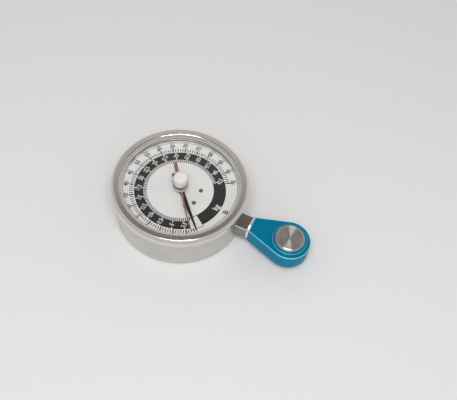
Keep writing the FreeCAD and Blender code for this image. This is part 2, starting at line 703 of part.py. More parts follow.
def link_pins():
    bottom = SECTOR_Z - LINK_LIFT
    return [flat_screw(LINK_X, y, bottom, LINK_TOP, PIN_R, PIN_HEAD_R, PIN_HEAD_T, slot_turn(i))
            for i, y in enumerate((LINK_PIN_Y, TAIL_PIN_Y))]


def tip_block():
    """End piece brazed onto the tube, with an ear for the link."""
    end_x, end_y = polar(TUBE_R, TUBE_END)
    lean = TUBE_END + 90
    half = TUBE_THICK / 2 + TIP_SIDE
    deep = TUBE_DEEP / 2 + TIP_SIDE
    block = box((end_x - TIP_SIDE * 2, end_y - half, STEM_Z - deep),
                (end_x + TIP_LONG, end_y + half, STEM_Z + deep))
    block = turn_about(block, lean - 360, end_x, end_y)
    ear = slab([(LINK_X - EAR_HALF_W, end_y), (LINK_X + EAR_HALF_W, end_y),
                (LINK_X + EAR_HALF_W, LINK_PIN_Y),
                (LINK_X, LINK_PIN_Y + EAR_HALF_W, LINK_X - EAR_HALF_W, LINK_PIN_Y)],
               LINK_Z - LINK_LIFT - EAR_T, LINK_Z - LINK_LIFT / 2)
    whole = block.fuse(ear)
    room_half = EAR_HALF_W + EAR_ROOM
    room = box((LINK_X - room_half, LINK_PIN_Y - room_half, LINK_Z - LINK_LIFT / 2),
               (LINK_X + room_half, 0, LINK_TOP + PIN_HEAD_T + 1))
    pin = disc(PIN_R, LINK_Z - LINK_LIFT - EAR_T - 1, LINK_TOP, LINK_X, LINK_PIN_Y)
    plug = tube_arc(0, TUBE_END - TUBE_PLUG_ANGLE, TUBE_END)
    return whole.cut([room, pin, plug]).removeSplitter()


def hairspring():
    """Flat spiral from the collet on the pinion's arbor to the stud."""
    bottom = SPRING_TOP - SPRING_H
    count = SPRING_TURNS * SPRING_STEPS
    outer = []
    inner = []
    for i in range(count + 1):
        r = SPRING_IN_R + (SPRING_OUT_R - SPRING_IN_R) * i / count
        degrees = 360.0 * i / SPRING_STEPS
        outer.append(polar(r + SPRING_T / 2, degrees))
        inner.append(polar(r - SPRING_T / 2, degrees))
    spiral = slab(outer + inner[::-1], bottom, SPRING_TOP)
    collet = ring(SPRING_IN_R - SPRING_T / 2 + COLLET_OVERLAP, SHAFT_R, bottom, SPRING_TOP)
    return spiral.fuse(collet).removeSplitter()


def hairspring_stud():
    stud = disc(STUD_R, SPRING_TOP - SPRING_H, FRONT_TOP, SPRING_OUT_R + STUD_R)
    slit = box((SPRING_OUT_R - SPRING_T, -STUD_R * 2, SPRING_TOP - SPRING_H - 1),
               (SPRING_OUT_R + SPRING_T / 2 + STUD_SLIT_GAP, STUD_R * 2, SPRING_TOP))
    return stud.cut(slit)


def pointer_blade(tip_r, root_w, tip_w, tail_r, tail_w, bottom, top):
    """Flat pointer along +X: a tapered blade and a broader tail."""
    waist = -tail_r * TAIL_WAIST
    flare = -tail_r * TAIL_FLARE
    return slab([(0, -root_w / 2), (tip_r - tip_w, -tip_w / 2), (tip_r, 0), (tip_r - tip_w, tip_w / 2),
                 (0, root_w / 2), (waist, root_w / 2), (flare, tail_w / 2), (-tail_r, tail_w / 2),
                 (-tail_r, -tail_w / 2), (flare, -tail_w / 2), (waist, -root_w / 2)], bottom, top)


def drive_pointer():
    top = POINTER_Z + POINTER_T
    blade = pointer_blade(POINTER_R, POINTER_ROOT_W, POINTER_TIP_W, POINTER_TAIL_R, POINTER_TAIL_W,
                          POINTER_Z, top)
    hub = disc(POINTER_HUB_R, POINTER_Z - POINTER_HUB_DOWN, POINTER_HUB_TOP)
    bore = disc(ARBOR_R, DIAL_TOP, POINTER_HUB_TOP + 1)
    return turn_about(blade.fuse(hub).cut(bore).removeSplitter(), POINTER_REST_ANGLE)


def max_pointer():
    """Peak pointer: it lies over the drive pointer, whose blade pushes its small tab."""
    blade = pointer_blade(PEAK_R, PEAK_ARM_W, PEAK_ARM_W / 2, PEAK_TAIL_R, PEAK_TAIL_W, PEAK_Z, PEAK_TOP)
    eye = disc(PEAK_EYE_R, PEAK_Z, PEAK_TOP)
    tab = box((PUSH_TAB_IN_R, -PUSH_TAB_W / 2, POINTER_Z),
              (PUSH_TAB_IN_R + PUSH_TAB_LONG, PUSH_TAB_W / 2, PEAK_Z + PEAK_T / 2))
    bore = disc(SPINDLE_R, PEAK_Z - 1, PEAK_TOP + 1)
    return turn_about(blade.fuse([eye, tab]).cut(bore).removeSplitter(), PEAK_REST_ANGLE)


def reset_knob():
    """Round knob with a rounded edge and a slightly crowned top."""
    edge = KNOB_TOP - KNOB_CROWN - KNOB_EDGE_R
    side = KNOB_R - KNOB_EDGE_R
    crown_r = (side ** 2 + KNOB_CROWN ** 2) / (2 * KNOB_CROWN)
    lean = math.degrees(math.asin(side / crown_r))
    knob = turned([(0, KNOB_BOTTOM), (KNOB_R, KNOB_BOTTOM), (KNOB_R, edge),
                   polar(KNOB_EDGE_R, 45, side, edge) + (side, edge + KNOB_EDGE_R),
                   polar(crown_r, 90 - lean / 2, 0, KNOB_TOP - crown_r) + (0, KNOB_TOP)])
    return knob.cut(disc(SPINDLE_R, KNOB_BOTTOM - 1, KNOB_BOTTOM + SPINDLE_IN_KNOB))


def reset_spindle():
    return disc(SPINDLE_R, PEAK_Z, KNOB_BOTTOM + SPINDLE_IN_KNOB)


def seal_washer():
    return bar_x(SEAL_R, STEM_END_X, BODY_X).cut(bar_x(NOSE_R + SEAL_GAP, STEM_END_X - 1, BODY_X + 1))


def drop_outline():
    """Drop shape: a straight neck end, and sides that run tangent into the round end."""
    away = math.hypot(BODY_REACH, BODY_NECK_HALF_W)
    to_corner = math.degrees(math.atan2(BODY_NECK_HALF_W, -BODY_REACH))
    touch = to_corner - math.degrees(math.acos(BODY_ROUND_R / away))
    upper = polar(BODY_ROUND_R, touch, BUTTON_X)
    lower = polar(BODY_ROUND_R, -touch, BUTTON_X)
    return [(BODY_X, -BODY_NECK_HALF_W), lower, (BUTTON_X + BODY_ROUND_R, 0) + upper,
            (BODY_X, BODY_NECK_HALF_W)]


def pinch_body():
    solid = slab(drop_outline(), BODY_BOTTOM, BODY_TOP)
    corners = [e for e in solid.Edges if e.BoundBox.ZLength > 1 and e.CenterOfMass.x < BODY_X + 0.1]
    solid = solid.makeFillet(BODY_CORNER_R, corners)
    rims = [e for e in solid.Edges if e.BoundBox.ZLength < 0.01]
    solid = solid.makeFillet(BODY_EDGE_R, rims)
    boss = disc(BOSS_R, BODY_TOP - 1, BOSS_TOP, BUTTON_X)
    boss = boss.makeFillet(BOSS_EDGE_R, [e for e in boss.Edges if e.CenterOfMass.z > BOSS_TOP - 0.01
                                         and e.BoundBox.ZLength < 0.01])
    guide = disc(BUTTON_R + BUTTON_GAP, GUIDE_BOTTOM - 1, BOSS_TOP + 1, BUTTON_X)
    cylinder = disc(CYLINDER_R, CAP_TOP - 1, GUIDE_BOTTOM, BUTTON_X)
    cap_seat = disc(CAP_R + CAP_GAP, BODY_BOTTOM - 1, CAP_TOP, BUTTON_X)
    nose_hole = bar_x(NOSE_R + NOSE_GAP, BODY_X - 1, BODY_X + NOSE_L)
    oil = bar_x(OIL_BORE_R, BODY_X, BUTTON_X - CYLINDER_R + 1)
    return solid.fuse(boss).cut([guide, cylinder, cap_seat, nose_hole, oil]).removeSplitter()


def piston_button():
    """Piston with a flange that stops it under the guide bore, and a turned button face."""
    side_top = BOSS_TOP + BUTTON_SIDE
    face = side_top + BUTTON_SHOULDER
    face_r = BUTTON_R - BUTTON_SHOULDER
    groove = seal_centre()
    half = SEAL_RING_R + SEAL_GROOVE_GAP
    groove_r = CYLINDER_R - SEAL_RING_GAP - 2 * SEAL_RING_R - SEAL_GROOVE_GAP
    shoulder = ((BUTTON_R + face_r) / 2 + BUTTON_BULGE, (side_top + face) / 2 + BUTTON_BULGE)
    return turned([(0, FLANGE_LOW), (PISTON_FLANGE_R, FLANGE_LOW), (PISTON_FLANGE_R, groove - half),
                   (groove_r, groove - half), (groove_r, groove + half), (PISTON_FLANGE_R, groove + half),
                   (PISTON_FLANGE_R, GUIDE_BOTTOM),
                   (BUTTON_R, GUIDE_BOTTOM), (BUTTON_R, side_top), shoulder + (face_r, face),
                   (face_r - BUTTON_RELIEF, face - BUTTON_RELIEF), (0, face - BUTTON_RELIEF)], BUTTON_X)


def seal_centre():
    return GUIDE_BOTTOM - PISTON_FLANGE_T / 2


def piston_seal():
    middle = CYLINDER_R - SEAL_RING_GAP - SEAL_RING_R
    return Part.makeTorus(middle, SEAL_RING_R, Vector(BUTTON_X, 0, seal_centre()))


def cap_ring_centre():
    return (BODY_BOTTOM + CAP_TOP) / 2


def cylinder_cap():
    middle = cap_ring_centre()
    half = CAP_RING_R + SEAL_GROOVE_GAP
    groove_r = CAP_R - 2 * CAP_RING_R
    cap = turned([(0, BODY_BOTTOM), (CAP_R, BODY_BOTTOM), (CAP_R, middle - half), (groove_r, middle - half),
                  (groove_r, middle + half), (CAP_R, middle + half), (CAP_R, CAP_TOP),
                  (0, CAP_TOP)], BUTTON_X)
    keys = [disc(CAP_KEY_R, BODY_BOTTOM - 1, BODY_BOTTOM + CAP_KEY_DEEP, BUTTON_X, y)
            for y in (CAP_KEY_OUT, -CAP_KEY_OUT)]
    return cap.cut(keys + [disc(FILL_R, BODY_BOTTOM - 1, CAP_TOP + 1, BUTTON_X)])


def cap_seal():
    return Part.makeTorus(CAP_R - CAP_RING_R, CAP_RING_R, Vector(BUTTON_X, 0, cap_ring_centre()))


def fill_screw():
    bottom = BODY_BOTTOM + FILL_SINK
    screw = disc(FILL_R, bottom, CAP_TOP, BUTTON_X)
    corners = [polar(FILL_KEY_W / math.sqrt(3), 60 * i, BUTTON_X) for i in range(6)]
    return screw.cut(slab(corners, bottom - 1, bottom + FILL_KEY_DEEP))


def build():
    os.makedirs("parts", exist_ok=True)
    save("gauge_case", gauge_case())
    save("bezel_ring", bezel_ring())
    save("lens", lens())
    save("lens_gasket", ring(LENS_R, GASKET_IN_R, LENS_TOP, GASKET_TOP))
    save("dial_ring", dial_ring())
    save("dial_plate", dial_plate())
    save("dial_screws", *dial_screws())
    save("socket_block", socket_block())
    save("back_screws", *[slotted_back_screw(i) for i in range(len(BACK_SCREWS))])
    save("bourdon_tube", bourdon_tube())
    save("tip_block", tip_block())
    save("link_bar", link_bar())
    save("link_pins", *link_pins())
    save("movement_back_plate", movement_back_plate())
    save("movement_front_plate", movement_front_plate())
    save("movement_pillars", *movement_pillars())
    save("pillar_screws", *pillar_screws())
    save("movement_screws", *movement_screws())
    save("pinion_shaft", pinion_shaft())
    save("sector_gear", sector_gear())
    save("sector_arbor", sector_arbor())
    save("hairspring", hairspring())
    save("hairspring_stud", hairspring_stud())
    save("drive_pointer", drive_pointer())
    save("max_pointer", max_pointer())
    save("peak_hub", ring(PEAK_HUB_R, SPINDLE_R, PEAK_TOP, PEAK_HUB_TOP))
    save("reset_spindle", reset_spindle())
    save("reset_knob", reset_knob())
    save("friction_washer", ring(WASHER_R, SPINDLE_R, PEAK_HUB_TOP, CASE_HEIGHT))
    save("knob_washer", ring(KNOB_WASHER_R, SPINDLE_R, LENS_BOSS_TOP, KNOB_BOTTOM))
    save("seal_washer", seal_washer())
    save("pinch_body", pinch_body())
    save("piston_button", piston_button())
    save("piston_seal", piston_seal())
    save("cylinder_cap", cylinder_cap())
    save("cap_seal", cap_seal())
    save("fill_screw", fill_screw())


build()
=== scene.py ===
import json
import math

import bmesh
import bpy
from mathutils import Matrix, Vector


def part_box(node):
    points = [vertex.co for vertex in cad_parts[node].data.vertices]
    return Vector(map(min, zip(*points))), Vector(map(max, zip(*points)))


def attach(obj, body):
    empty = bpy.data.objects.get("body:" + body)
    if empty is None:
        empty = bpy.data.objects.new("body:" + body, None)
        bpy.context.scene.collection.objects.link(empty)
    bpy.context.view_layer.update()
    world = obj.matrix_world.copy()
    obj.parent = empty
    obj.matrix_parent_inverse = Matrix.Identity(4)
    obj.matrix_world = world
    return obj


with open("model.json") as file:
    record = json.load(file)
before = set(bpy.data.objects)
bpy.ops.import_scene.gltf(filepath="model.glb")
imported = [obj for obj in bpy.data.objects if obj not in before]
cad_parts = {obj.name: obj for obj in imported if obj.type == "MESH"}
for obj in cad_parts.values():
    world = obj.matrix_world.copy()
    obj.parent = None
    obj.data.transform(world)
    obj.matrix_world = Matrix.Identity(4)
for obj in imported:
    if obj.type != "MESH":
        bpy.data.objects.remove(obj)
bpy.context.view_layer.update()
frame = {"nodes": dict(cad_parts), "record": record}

MM = 0.001

# The dial's two scales. Angles are in degrees, anticlockwise from the stem as seen from the front.
# Numbers of three or four signs are narrower still than the others.
DIAL_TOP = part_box("dial_plate")[1].z
PRINT_STEP = 0.03 * MM
ZERO_ANGLE = -42.0
LB_LABEL_TURN = 14.84
LB_LABEL_STEP = 5
LB_LABELS = 19
KG_LABEL_TURN = 16.33
KG_LABEL_STEP = 2.5
KG_LABELS = 17
KG_TICKS_PER_LABEL = 5
BAND_INNER_R = 23.6 * MM
BAND_OUTER_R = 29.4 * MM
LB_TICK_R = (30.1 * MM, 32.3 * MM)
LB_LABEL_TICK_R = (29.8 * MM, 32.7 * MM)
KG_TICK_R = (21.4 * MM, 23.7 * MM)
LB_TICK_W = 0.55 * MM
KG_TICK_W = 0.64 * MM
LABEL_TICK_W = 0.85 * MM
BAND_MARK_W = 0.6 * MM
BAND_MARK_LENGTH = 1.2 * MM
LB_NUMERAL_R = 34.75 * MM
KG_NUMERAL_R = 26.5 * MM
LB_NUMERAL_SIZE = 4.1 * MM
KG_NUMERAL_SIZE = 3.9 * MM
NUMERAL_NARROW = 0.86
LONG_NUMERAL_NARROW = {3: 0.9, 4: 0.78}
NUMERAL_BOLD = 0.028
KG_UNIT_SIZE = 5.4 * MM
LB_UNIT_SIZE = 4.8 * MM
LB_UNIT_R = 33.1 * MM
UNIT_ANGLE = -4.0
ZERO_BOX_ANGLES = (-51.3, -35.0)
ZERO_BOX_R = (21.5 * MM, 30.6 * MM)
ZERO_BOX_LINE = 0.35 * MM
ARC_STEP = 1.5

# The ring between dial and lens: its groove and its undercut, above the dial, where its colour has painted
# shade.
RING_GROOVE = (2.3 * MM, 2.95 * MM)
RING_FOOT = 0.45 * MM
RING_LINE_FADE = 0.1 * MM

# Where the press button stands, for the rings that its turning left.
BUTTON_LOW, BUTTON_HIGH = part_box("piston_button")
BUTTON_CENTRE = ((BUTTON_LOW.x + BUTTON_HIGH.x) / 2, (BUTTON_LOW.y + BUTTON_HIGH.y) / 2, 0.0)
GAUGE_CENTRE = (0.0, 0.0, 0.0)

# The blue body's flat top, below its raised round boss, whose edge gets a weaker painted highlight.
BODY_TOP = 18.0 * MM
BODY_BOSS_FADE = 0.3 * MM
BODY_BOSS_HIGHLIGHT = 0.45

# The lens's raised round boss, of which the eye sees little, and the flat top round it.
LENS_BOSS_UP = 1.4 * MM
LENS_BOSS_FADE = 0.1 * MM
LENS_BOSS_COVER = 0.12
LENS_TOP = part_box("lens")[1].z - LENS_BOSS_UP
LENS_BOSS_FOOT = LENS_TOP + LENS_BOSS_FADE

# The moulded step round the lens's edge. Its sides are painted dark as shade up to a share of its height.
LENS_STEP_OUTER_R = 37.6 * MM
LENS_STEP_INNER_R = 36.5 * MM
LENS_STEP_FOOT_R = 36.2 * MM
LENS_STEP_UP = 0.4 * MM
LENS_STEP_SEAT = 0.01 * MM
LENS_STEP_SIDES = 240
LENS_STEP_SHADED_SHARE = 0.8

# The floor lies a hair below the gauge's flat back, so that the two faces don't meet.
FLOOR_HALF = 6.0
FLOOR_DROP = 0.2 * MM

# The overhead lamp, in metres and watts.
LAMP_PLACE = (0.15, -0.36, 0.87)
LAMP_AIM = (0.03, 0, 0.02)
LAMP_SIZE = (0.5, 0.42)
LAMP_POWER = 4.9

# The room's colour low down and overhead. It changes between two heights, where 1 is straight up.
ROOM_LOW = (0.6, 0.6, 0.6, 1)
ROOM_HIGH = (0.17, 0.14, 0.11, 1)
ROOM_CHANGE = (0.76, 0.88)

# The camera, from calibrating the photograph: its place, where its right and its back point, and its lens.
CAMERA_PLACE = Vector((0.1056, -0.2238, 0.3979))
CAMERA_RIGHT = Vector((0.9088, 0.4109, 0.0717)).normalized()
CAMERA_BACK = Vector((0.1672, -0.5163, 0.8399)).normalized()
CAMERA_LENS = 55.14
CAMERA_SENSOR = 36.0
CAMERA_CLIP = 0.01

# The span that most values of a noise lie in.
NOISE_SPAN = (0.3, 0.7)


def put(tree, kind, settings, *values):
    """Adds a node, sets its properties and fills its inputs in order.

    An input takes a number, another node's output, or None, which leaves it as it is.
    """
    node = tree.nodes.new(kind)
    for key, value in settings.items():
        setattr(node, key, value)
    for socket, value in zip(node.inputs, values):
        if isinstance(value, bpy.types.NodeSocket):
            tree.links.new(value, socket)
        elif value is not None:
            socket.default_value = value
    return node


def maths(tree, operation, *values):
    """The result of one sum on values or on other nodes' outputs."""
    return put(tree, "ShaderNodeMath", {"operation": operation}, *values).outputs[0]


def vector_maths(tree, operation, *values):
    """The outputs of one sum on vectors. Output 0 is a vector, and output 1 is a number."""
    return put(tree, "ShaderNodeVectorMath", {"operation": operation}, *values).outputs


def noise_at(tree, place, scale, detail, roughness):
    """A noise from 0 to 1, at a place."""
    return put(tree, "ShaderNodeTexNoise", {}, place, None, scale, detail, roughness).outputs[0]


def stretch(tree, value, low, high, to_low=0.0, to_high=1.0):
    """Maps a value from one range to another and keeps it inside the second."""
    return put(tree, "ShaderNodeMapRange", {}, value, low, high, to_low, to_high).outputs[0]


def surface_point(tree):
    """Where a point of the surface lies at rest, in the gauge's frame."""
    return put(tree, "ShaderNodeTexCoord", {}).outputs["Object"]


def surface_height(tree):
    """How high a point of the surface lies at rest above the gauge's flat back."""
    return put(tree, "ShaderNodeSeparateXYZ", {}, surface_point(tree)).outputs[2]


def blend_colours(tree, factor, first, second):
    """Mixes two colours. The node's colours are its inputs 6 and 7, and its output 2."""
    node = tree.nodes.new("ShaderNodeMix")
    node.data_type = "RGBA"
    for socket, value in ((node.inputs[0], factor), (node.inputs[6], first), (node.inputs[7], second)):
        if isinstance(value, bpy.types.NodeSocket):
            tree.links.new(value, socket)
        else:
            socket.default_value = value
    return node.outputs[2]


def new_effect(name, inputs, outputs):
    """Starts a node group with float or vector inputs and float outputs.

    It gives the group's tree, its inlet and its outlet.
    """
    group = bpy.data.node_groups.new(name, "ShaderNodeTree")
    for label, value in inputs.items():
        kind = "NodeSocketVector" if isinstance(value, tuple) else "NodeSocketFloat"
        group.interface.new_socket(label, in_out="INPUT", socket_type=kind).default_value = value
    for label in outputs:
        group.interface.new_socket(label, in_out="OUTPUT", socket_type="NodeSocketFloat")
    inlet = group.nodes.new("NodeGroupInput")
    outlet = group.nodes.new("NodeGroupOutput")
    return group, inlet, outlet


def use(tree, group, **values):
    """Places an effect in a material. An underscore in a value's name stands for a space."""
    node = tree.nodes.new("ShaderNodeGroup")
    node.node_tree = group
    for label, value in values.items():
        node.inputs[label.replace("_", " ")].default_value = value
    return node


def make_ring_grain():
    """Fine rings round an axis along Z, as a lathe leaves them, on faces and on round sides."""
    tree, inlet, outlet = new_effect("Ring grain", {"Centre": GAUGE_CENTRE, "Ring width": 0.2 * MM}, ["Grain"])
    place = surface_point(tree)
    offset = vector_maths(tree, "SUBTRACT", place, inlet.outputs["Centre"])[0]
    parts = put(tree, "ShaderNodeSeparateXYZ", {}, offset).outputs
    across = maths(tree, "ADD", maths(tree, "POWER", parts[0], 2.0), maths(tree, "POWER", parts[1], 2.0))
    ring = maths(tree, "DIVIDE", maths(tree, "SQRT", across), inlet.outputs["Ring width"])
    rise = maths(tree, "DIVIDE", parts[2], inlet.outputs["Ring width"])
    drift = maths(tree, "MULTIPLY", parts[0], 60.0)
    spot = put(tree, "ShaderNodeCombineXYZ", {}, ring, rise, drift).outputs[0]
    noise = noise_at(tree, spot, 1.0, 2.0, 0.6)
    tree.links.new(stretch(tree, noise, *NOISE_SPAN), outlet.inputs["Grain"])
    return tree


def make_straight_grain():
    """Fine scratches along one direction, as a belt or a mill leaves them."""
    tree, inlet, outlet = new_effect("Straight grain", {"Scale": (60.0, 4000.0, 4000.0)}, ["Grain"])
    place = surface_point(tree)
    spot = vector_maths(tree, "MULTIPLY", place, inlet.outputs["Scale"])[0]
    noise = noise_at(tree, spot, 1.0, 3.0, 0.6)
    tree.links.new(stretch(tree, noise, *NOISE_SPAN), outlet.inputs["Grain"])
    return tree


def make_edge_wear():
    """A mask that is 1 on edges, where handling rubs the finish, and that breaks up along them."""
    tree, inlet, outlet = new_effect("Edge wear", {"Reach": 0.0003, "Break up": 900.0}, ["Mask"])
    soft = tree.nodes.new("ShaderNodeBevel")
    soft.samples = 6
    tree.links.new(inlet.outputs["Reach"], soft.inputs["Radius"])
    true_normal = put(tree, "ShaderNodeNewGeometry", {}).outputs["Normal"]
    match = vector_maths(tree, "DOT_PRODUCT", soft.outputs[0], true_normal)[1]
    edge = stretch(tree, match, 0.995, 0.86)
    place = surface_point(tree)
    noise = noise_at(tree, place, inlet.outputs["Break up"], 3.0, 0.6)
    broken = stretch(tree, noise, 0.3, 0.55, 0.35, 1.0)
    tree.links.new(maths(tree, "MULTIPLY", edge, broken), outlet.inputs["Mask"])
    return tree


def make_handling_marks():
    """Soft patches where fingers leave a duller film, with fine specks of dust in them."""
    scales = {"Patch scale": 90.0, "Speck scale": 2600.0}
    tree, inlet, outlet = new_effect("Handling marks", scales, ["Film", "Specks"])
    place = surface_point(tree)
    cloud = noise_at(tree, place, inlet.outputs["Patch scale"], 4.0, 0.55)
    tree.links.new(stretch(tree, cloud, 0.38, 0.68), outlet.inputs["Film"])
    cells = put(tree, "ShaderNodeTexVoronoi", {}, place, None, inlet.outputs["Speck scale"])
    near = stretch(tree, cells.outputs["Distance"], 0.16, 0.08)
    patch = stretch(tree, cloud, 0.5, 0.62)
    tree.links.new(maths(tree, "MULTIPLY", near, patch), outlet.inputs["Specks"])
    return tree


def make_fine_pits():
    """A close, even roughness, as paint, anodising, rubber and moulded plastic have."""
    tree, inlet, outlet = new_effect("Fine pits", {"Pit scale": 5000.0}, ["Height"])
    place = surface_point(tree)
    noise = noise_at(tree, place, inlet.outputs["Pit scale"], 2.0, 0.5)
    tree.links.new(noise, outlet.inputs["Height"])
    return tree


def make_rounded_edge():
    """A mask that is 1 halfway round a rounded upper edge and 0 on flat tops and upright sides, for painted
    highlights.
    """
    tree, inlet, outlet = new_effect("Rounded edge", {"Break up": 300.0}, ["Mask"])
    place = put(tree, "ShaderNodeTexCoord", {}).outputs
    rise = put(tree, "ShaderNodeSeparateXYZ", {}, place["Normal"]).outputs[2]
    edge = maths(tree, "MULTIPLY", stretch(tree, rise, 0.2, 0.6), stretch(tree, rise, 0.985, 0.85))
    noise = noise_at(tree, place["Object"], inlet.outputs["Break up"], 3.0, 0.6)
    broken = stretch(tree, noise, 0.3, 0.6, 0.7, 1.0)
    tree.links.new(maths(tree, "MULTIPLY", edge, broken), outlet.inputs["Mask"])
    return tree


RING_GRAIN = make_ring_grain()
STRAIGHT_GRAIN = make_straight_grain()
EDGE_WEAR = make_edge_wear()
HANDLING_MARKS = make_handling_marks()
FINE_PITS = make_fine_pits()
ROUNDED_EDGE = make_rounded_edge()


def start_material(name, **constants):
    """Starts a material with constants on its shader. An underscore in a value's name stands for a space."""
    material = bpy.data.materials.new(name)
    material.use_nodes = True
    shader = material.node_tree.nodes["Principled BSDF"]
    for label, value in constants.items():
        shader.inputs[label.replace("_", " ")].default_value = value
    return material, material.node_tree, shader


def shade(colour, factor):
    """The same colour, lighter or darker, as a socket takes it."""
    return (*(min(1.0, part * factor) for part in colour), 1.0)


def bump(tree, shader, height, strength, distance):
    """Gives the surface a fine relief from a height. The distance is in metres."""
    node = put(tree, "ShaderNodeBump", {})
    node.inputs["Strength"].default_value = strength
    node.inputs["Distance"].default_value = distance
    tree.links.new(height, node.inputs["Height"])
    tree.links.new(node.outputs[0], shader.inputs["Normal"])


def worked_metal(name, colour, roughness, grain, edge=1.25, contrast=0.1, depth=0.02, **constants):
    """A bare metal with its grain, brighter rubbed edges and a film of handling.

    grain is a function that adds the lines to a tree. edge is how much brighter the rubbed edges are, contrast
    is how far the lines part from the colour, and depth is their relief in millimetres.
    """
    material, tree, shader = start_material(name, Metallic=1.0, **constants)
    lines = grain(tree)
    marks = use(tree, HANDLING_MARKS).outputs
    edge_mask = use(tree, EDGE_WEAR)
    grained = blend_colours(tree, lines, shade(colour, 1 - contrast), shade(colour, 1 + contrast))
    filmed = blend_colours(tree, stretch(tree, marks["Film"], 0, 1, 0, 0.35), grained, shade(colour, 0.86))
    rubbed_and_highlit = blend_colours(tree, edge_mask.outputs["Mask"], filmed, shade(colour, edge))
    tree.links.new(rubbed_and_highlit, shader.inputs["Base Color"])
    dull = stretch(tree, marks["Film"], 0, 1, roughness * 0.9, roughness * 1.25)
    uneven = maths(tree, "ADD", dull, stretch(tree, lines, 0, 1, -0.03, 0.03))
    tree.links.new(uneven, shader.inputs["Roughness"])
    bump(tree, shader, lines, 0.35, depth * MM)
    return material


def ring_lines(width, centre=GAUGE_CENTRE):
    """Turned rings, their width in millimetres."""
    return lambda tree: use(tree, RING_GRAIN, Centre=centre, Ring_width=width * MM).outputs["Grain"]


def straight_lines(*scale):
    """Scratches along the direction in which the scale is smallest."""
    return lambda tree: use(tree, STRAIGHT_GRAIN, Scale=scale).outputs["Grain"]


def turned_button_steel():
    """Face turned stainless steel. Light spreads across its round grooves, so the tangent points outwards."""
    grain = ring_lines(0.16, BUTTON_CENTRE)
    material = worked_metal(
        "button_turned_steel", (0.53, 0.5, 0.47), 0.33, grain,
        edge=1.3, contrast=0.08, depth=0.01, Anisotropic=0.95
    )
    tree = material.node_tree
    place = surface_point(tree)
    offset = vector_maths(tree, "SUBTRACT", place, BUTTON_CENTRE)[0]
    flat = vector_maths(tree, "MULTIPLY", offset, (1, 1, 0))[0]
    outwards = vector_maths(tree, "NORMALIZE", flat)[0]
    tree.links.new(outwards, tree.nodes["Principled BSDF"].inputs["Tangent"])
    return material


def painted(name, colour, roughness, edge_reach, **constants):
    """Satin colour on a thin piece, paler along its edges where it has rubbed."""
    material, tree, shader = start_material(name, **constants)
    marks = use(tree, HANDLING_MARKS).outputs
    edge_mask = use(tree, EDGE_WEAR, Reach=edge_reach * MM)
    pits = use(tree, FINE_PITS)
    toned = blend_colours(tree, marks["Film"], shade(colour, 1.12), shade(colour, 0.88))
    dusty = blend_colours(tree, stretch(tree, marks["Specks"], 0, 1, 0, 0.25), toned, shade(colour, 1.7))
    rubbed_and_highlit = stretch(tree, edge_mask.outputs["Mask"], 0.5, 1.0, 0.0, 0.5)
    pale = (*(0.3 + part * 0.5 for part in colour), 1.0)
    tree.links.new(blend_colours(tree, rubbed_and_highlit, dusty, pale), shader.inputs["Base Color"])
    dull = stretch(tree, marks["Film"], 0, 1, roughness, roughness * 1.35)
    tree.links.new(dull, shader.inputs["Roughness"])
    bump(tree, shader, pits.outputs["Height"], 0.25, 0.02 * MM)
    return material


def blue_anodised():
    """Satin aluminium dyed blue under a clear hard layer, with a pale painted highlight on its rounded upper
    edges.
    """
    colour = (0.0, 0.212, 0.358)
    material, tree, shader = start_material(
        "body_blue_anodised", Metallic=0.25, Specular_IOR_Level=0.0, Coat_Weight=0.2, Coat_Roughness=0.1
    )
    marks = use(tree, HANDLING_MARKS, Patch_scale=70.0).outputs
    edge_mask = use(tree, ROUNDED_EDGE)
    pits = use(tree, FINE_PITS, Pit_scale=6000.0)
    toned = blend_colours(tree, marks["Film"], shade(colour, 1.05), shade(colour, 0.93))
    height = surface_height(tree)
    highlight_share = stretch(tree, height, BODY_TOP, BODY_TOP + BODY_BOSS_FADE, 1.0, BODY_BOSS_HIGHLIGHT)
    # Painted highlight: pale cyan on the rounded upper edges, weaker on the boss, where the lamp's highlight
    # falls.
    painted_highlight_mask = maths(tree, "MULTIPLY", edge_mask.outputs["Mask"], highlight_share)
    rubbed_and_highlit = blend_colours(tree, painted_highlight_mask, toned, (0.3, 0.74, 0.88, 1))
    dusty = blend_colours(tree, stretch(tree, marks["Specks"], 0, 1, 0, 0.2), rubbed_and_highlit, (0.4, 0.6, 0.7, 1))
    tree.links.new(dusty, shader.inputs["Base Color"])
    tree.links.new(stretch(tree, marks["Film"], 0, 1, 0.3, 0.38), shader.inputs["Roughness"])
    bump(tree, shader, pits.outputs["Height"], 0.2, 0.02 * MM)
    return material


def plated_stem():
    """Dark nickel plate with rubbed edges, and a painted highlight near white along the stem's upper chamfers.
    """
    grain = straight_lines(80, 2500, 2500)
    material = worked_metal("stem_nickel_plate", (0.31, 0.285, 0.26), 0.3, grain, edge=1.6)
    tree = material.node_tree
    shader = tree.nodes["Principled BSDF"]
    chamfer_highlight = use(tree, ROUNDED_EDGE, Break_up=700.0).outputs["Mask"]
    plain = shader.inputs["Base Color"].links[0].from_socket
    # Painted highlight: the upper chamfers turn near white.
    tree.links.new(blend_colours(tree, chamfer_highlight, plain, (0.93, 0.89, 0.85, 1)), shader.inputs["Base Color"])
    return material


